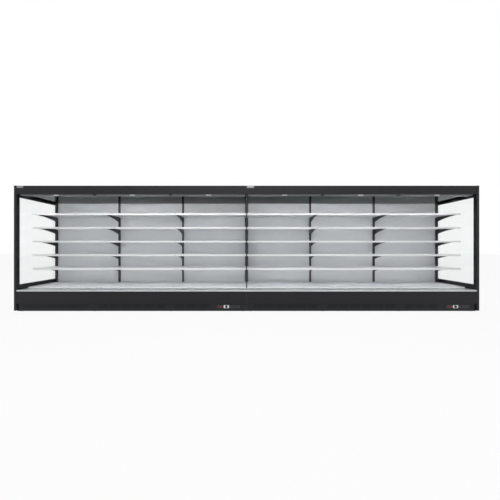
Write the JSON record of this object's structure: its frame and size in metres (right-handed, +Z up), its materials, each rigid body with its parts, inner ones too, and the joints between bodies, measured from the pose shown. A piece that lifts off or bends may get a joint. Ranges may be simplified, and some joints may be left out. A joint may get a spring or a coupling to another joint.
{
  "type": "open multideck display fridge",
  "caption": "Open-front multideck display fridge line-up with glazed end walls, tiered shelves, pull-down night blinds, evaporator fans and a dark canopy and base.",
  "frame": {"origin": "on the floor, at the middle of the overall length and depth", "axes": "+X along the line-up, open front faces -Y, +Z up"},
  "size_m": [7.58, 1, 2.055],
  "materials": {
    "dark_foamed": "satin",
    "dark_frame": "satin",
    "dark_panel": "satin",
    "dark_upright": "satin",
    "dark_bracket": "satin",
    "clear_glass": "gloss",
    "galvanised_steel": "satin",
    "zinc_steel": "satin",
    "foamed_body": "satin",
    "grey_pvc": "matte",
    "bright_bumper": "satin",
    "black_plastic": "satin",
    "red_plastic": "gloss",
    "knob_plastic": "satin",
    "white_sheet": "satin",
    "stainless": "satin",
    "motor_black": "satin",
    "coil_fins": "satin",
    "copper": "satin",
    "clear_rail": "gloss",
    "led_diffuser": "satin",
    "honeycomb_plastic": "matte",
    "mirror_ceiling": "polished",
    "grey_aluminium": "satin",
    "grey_box": "matte",
    "fan_plastic": "matte",
    "roller_aluminium": "satin",
    "blind_fabric": "matte"
  },
  "bodies": {
    "root": {"end_frames": "dark_foamed", "end_glass": "clear_glass", "base_frame": "dark_frame", "levelling_feet": "zinc_steel", "tubs": "foamed_body", "drain_outlets": "grey_pvc", "back_walls": "foamed_body", "roofs": "foamed_body", "front_risers": "dark_panel", "bumpers": "bright_bumper", "kick_plates": "dark_panel", "control_panels": "black_plastic", "deck_supports": "galvanised_steel", "deck_trays": "white_sheet", "return_grilles": "stainless", "fan_plates": "galvanised_steel", "fan_motors": "motor_black", "evaporators": "coil_fins", "refrigerant_pipes": "copper", "back_panels": "white_sheet", "slotted_uprights": "dark_upright", "shelves": "white_sheet", "shelf_brackets": "dark_bracket", "price_rails": "clear_rail", "led_bars": "led_diffuser", "fascias": "dark_panel", "blind_housings": "dark_frame", "honeycombs": "honeycomb_plastic", "ceiling_panels": "mirror_ceiling", "centre_divider": "clear_glass", "divider_trim": "dark_frame", "terminal_boxes": "grey_box"},
    "fan_1": {"fan_1": "fan_plastic"},
    "blind_1": {"blind_bar_1": "grey_aluminium", "blind_cloth_1": "blind_fabric"},
    "roller_1": {"blind_roller_1": "roller_aluminium"},
    "fan_2": {"fan_2": "fan_plastic"},
    "blind_2": {"blind_bar_2": "grey_aluminium", "blind_cloth_2": "blind_fabric"},
    "roller_2": {"blind_roller_2": "roller_aluminium"},
    "fan_3": {"fan_3": "fan_plastic"},
    "blind_3": {"blind_bar_3": "grey_aluminium", "blind_cloth_3": "blind_fabric"},
    "roller_3": {"blind_roller_3": "roller_aluminium"},
    "fan_4": {"fan_4": "fan_plastic"},
    "blind_4": {"blind_bar_4": "grey_aluminium", "blind_cloth_4": "blind_fabric"},
    "roller_4": {"blind_roller_4": "roller_aluminium"},
    "fan_5": {"fan_5": "fan_plastic"},
    "blind_5": {"blind_bar_5": "grey_aluminium", "blind_cloth_5": "blind_fabric"},
    "roller_5": {"blind_roller_5": "roller_aluminium"},
    "fan_6": {"fan_6": "fan_plastic"},
    "blind_6": {"blind_bar_6": "grey_aluminium", "blind_cloth_6": "blind_fabric"},
    "roller_6": {"blind_roller_6": "roller_aluminium"},
    "switch_left": {"rocker_switch_1": "red_plastic"},
    "knob_left": {"dial_knob_1": "knob_plastic"},
    "switch_right": {"rocker_switch_2": "red_plastic"},
    "knob_right": {"dial_knob_2": "knob_plastic"}
  },
  "joints": [
    {"name": "fan_1_spin", "type": "hinge", "parent": "root", "child": "fan_1", "pos_m": [-3.125, -0.079, 0.24], "axis": [0, 1, 0], "continuous": true},
    {"name": "blind_1_pull", "type": "slide", "parent": "root", "child": "blind_1", "axis": [0, 0, -1], "range_m": [0, 1.54], "stiffness_N_per_m": 10, "springref_m": -1.6, "deforming": ["blind_cloth_1"]},
    {"name": "roller_1_turn", "type": "hinge", "parent": "root", "child": "roller_1", "pos_m": [-3.125, -0.43409, 1.975], "axis": [1, 0, 0], "range_deg": [0, 4962]},
    {"name": "fan_2_spin", "type": "hinge", "parent": "root", "child": "fan_2", "pos_m": [-1.875, -0.079, 0.24], "axis": [0, 1, 0], "continuous": true},
    {"name": "blind_2_pull", "type": "slide", "parent": "root", "child": "blind_2", "axis": [0, 0, -1], "range_m": [0, 1.54], "stiffness_N_per_m": 10, "springref_m": -1.6, "deforming": ["blind_cloth_2"]},
    {"name": "roller_2_turn", "type": "hinge", "parent": "root", "child": "roller_2", "pos_m": [-1.875, -0.43409, 1.975], "axis": [1, 0, 0], "range_deg": [0, 4962]},
    {"name": "fan_3_spin", "type": "hinge", "parent": "root", "child": "fan_3", "pos_m": [-0.625, -0.079, 0.24], "axis": [0, 1, 0], "continuous": true},
    {"name": "blind_3_pull", "type": "slide", "parent": "root", "child": "blind_3", "axis": [0, 0, -1], "range_m": [0, 1.54], "stiffness_N_per_m": 10, "springref_m": -1.6, "deforming": ["blind_cloth_3"]},
    {"name": "roller_3_turn", "type": "hinge", "parent": "root", "child": "roller_3", "pos_m": [-0.625, -0.43409, 1.975], "axis": [1, 0, 0], "range_deg": [0, 4962]},
    {"name": "fan_4_spin", "type": "hinge", "parent": "root", "child": "fan_4", "pos_m": [0.625, -0.079, 0.24], "axis": [0, 1, 0], "continuous": true},
    {"name": "blind_4_pull", "type": "slide", "parent": "root", "child": "blind_4", "axis": [0, 0, -1], "range_m": [0, 1.54], "stiffness_N_per_m": 10, "springref_m": -1.6, "deforming": ["blind_cloth_4"]},
    {"name": "roller_4_turn", "type": "hinge", "parent": "root", "child": "roller_4", "pos_m": [0.625, -0.43409, 1.975], "axis": [1, 0, 0], "range_deg": [0, 4962]},
    {"name": "fan_5_spin", "type": "hinge", "parent": "root", "child": "fan_5", "pos_m": [1.875, -0.079, 0.24], "axis": [0, 1, 0], "continuous": true},
    {"name": "blind_5_pull", "type": "slide", "parent": "root", "child": "blind_5", "axis": [0, 0, -1], "range_m": [0, 1.54], "stiffness_N_per_m": 10, "springref_m": -1.6, "deforming": ["blind_cloth_5"]},
    {"name": "roller_5_turn", "type": "hinge", "parent": "root", "child": "roller_5", "pos_m": [1.875, -0.43409, 1.975], "axis": [1, 0, 0], "range_deg": [0, 4962]},
    {"name": "fan_6_spin", "type": "hinge", "parent": "root", "child": "fan_6", "pos_m": [3.125, -0.079, 0.24], "axis": [0, 1, 0], "continuous": true},
    {"name": "blind_6_pull", "type": "slide", "parent": "root", "child": "blind_6", "axis": [0, 0, -1], "range_m": [0, 1.54], "stiffness_N_per_m": 10, "springref_m": -1.6, "deforming": ["blind_cloth_6"]},
    {"name": "roller_6_turn", "type": "hinge", "parent": "root", "child": "roller_6", "pos_m": [3.125, -0.43409, 1.975], "axis": [1, 0, 0], "range_deg": [0, 4962]},
    {"name": "switch_left_rock", "type": "hinge", "parent": "root", "child": "switch_left", "pos_m": [-0.432, -0.48, 0.078], "axis": [1, 0, 0], "range_deg": [0, 16]},
    {"name": "knob_left_turn", "type": "hinge", "parent": "root", "child": "knob_left", "pos_m": [-0.332, -0.484, 0.078], "axis": [0, 1, 0], "range_deg": [0, 270]},
    {"name": "switch_right_rock", "type": "hinge", "parent": "root", "child": "switch_right", "pos_m": [3.318, -0.48, 0.078], "axis": [1, 0, 0], "range_deg": [0, 16]},
    {"name": "knob_right_turn", "type": "hinge", "parent": "root", "child": "knob_right", "pos_m": [3.418, -0.484, 0.078], "axis": [0, 1, 0], "range_deg": [0, 270]}
  ],
  "couplings": [
    {"joint": "roller_1_turn", "follows": "blind_1_pull", "rad_per_m": 56.014},
    {"joint": "roller_2_turn", "follows": "blind_2_pull", "rad_per_m": 56.014},
    {"joint": "roller_3_turn", "follows": "blind_3_pull", "rad_per_m": 56.014},
    {"joint": "roller_4_turn", "follows": "blind_4_pull", "rad_per_m": 56.014},
    {"joint": "roller_5_turn", "follows": "blind_5_pull", "rad_per_m": 56.014},
    {"joint": "roller_6_turn", "follows": "blind_6_pull", "rad_per_m": 56.014}
  ]
}
